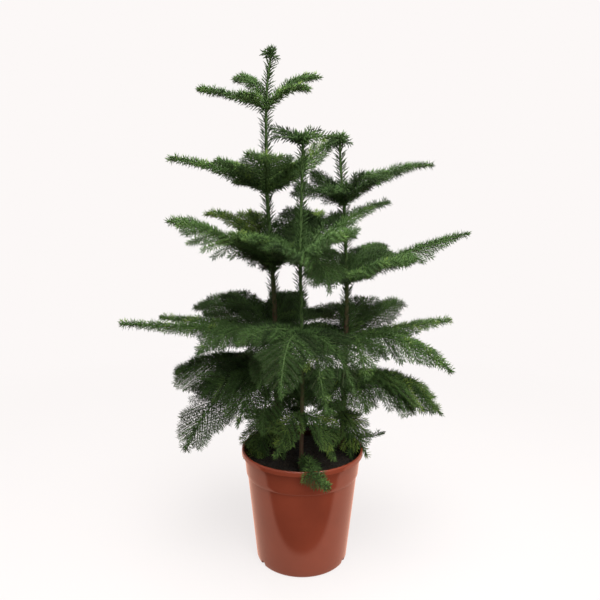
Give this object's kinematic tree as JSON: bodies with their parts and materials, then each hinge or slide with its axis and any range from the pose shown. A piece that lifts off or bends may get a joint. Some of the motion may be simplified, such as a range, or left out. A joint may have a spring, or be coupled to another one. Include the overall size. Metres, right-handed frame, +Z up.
{
  "type": "norfolk island pine",
  "caption": "Young potted Norfolk Island pine: slender stems with tiers of flat, drooping boughs in a tapering round plastic nursery pot.",
  "frame": {"origin": "centre of the flat ring under the pot, at floor level", "axes": "+Z up along the pot's axis and the stems, -Y toward the side that the picture is taken from, +X to the right of that view"},
  "size_m": [0.6051, 0.4405, 0.8768],
  "materials": {
    "pot": "terracotta-coloured moulded plastic, slightly glossy",
    "soil": "dark, crumbly, damp potting soil",
    "bark": "young bark, olive above and grey-brown at the foot",
    "foliage": "soft awl-shaped needles, mid green with paler young tips"
  },
  "bodies": {
    "root": {"bough_left_tier2_left": "bark", "bough_left_tier3_back_left": "bark", "bough_left_tier3_left": "bark", "bough_left_tier4_left": "bark", "bough_middle_tier2_right": "bark", "bough_right_tier1_right": "bark", "bough_right_tier2_right": "bark", "bough_right_tier3_right": "bark", "bough_right_tier4_right": "bark", "foliage_left_tier1_back": "foliage", "foliage_left_tier1_front": "foliage", "foliage_left_tier1_left": "foliage", "foliage_left_tier1_right": "foliage", "foliage_left_tier2_back": "foliage", "foliage_left_tier2_front": "foliage", "foliage_left_tier2_left": "foliage", "foliage_left_tier2_right": "foliage", "foliage_left_tier3_back": "foliage", "foliage_left_tier3_back_left": "foliage", "foliage_left_tier3_front": "foliage", "foliage_left_tier3_left": "foliage", "foliage_left_tier4_back": "foliage", "foliage_left_tier4_back_left": "foliage", "foliage_left_tier4_front": "foliage", "foliage_left_tier4_front_left": "foliage", "foliage_left_tier4_left": "foliage", "foliage_left_tier5_back": "foliage", "foliage_left_tier5_front": "foliage", "foliage_left_tier5_front_left": "foliage", "foliage_left_tier5_left": "foliage", "foliage_left_tier6_left": "foliage", "foliage_left_tip": "foliage", "foliage_middle_tier2_back": "foliage", "foliage_middle_tier2_front_right": "foliage", "foliage_middle_tier2_left": "foliage", "foliage_middle_tier2_right": "foliage", "foliage_middle_tier3_front": "foliage", "foliage_middle_tier3_front_right": "foliage", "foliage_middle_tier3_left": "foliage", "foliage_middle_tier4_front": "foliage", "foliage_middle_tip": "foliage", "foliage_right_tier1_front_right": "foliage", "foliage_right_tier1_left": "foliage", "foliage_right_tier1_right": "foliage", "foliage_right_tier2_back": "foliage", "foliage_right_tier2_front_left": "foliage", "foliage_right_tier2_front_right": "foliage", "foliage_right_tier2_right": "foliage", "foliage_right_tier3_back_right": "foliage", "foliage_right_tier3_front": "foliage", "foliage_right_tier3_front_right": "foliage", "foliage_right_tier3_right": "foliage", "foliage_right_tier4_front_right": "foliage", "foliage_right_tier4_right": "foliage", "foliage_right_tip": "foliage", "pot": "pot", "soil": "soil", "stem_left": "bark", "stem_middle": "bark", "stem_right": "bark"}
  },
  "joints": []
}
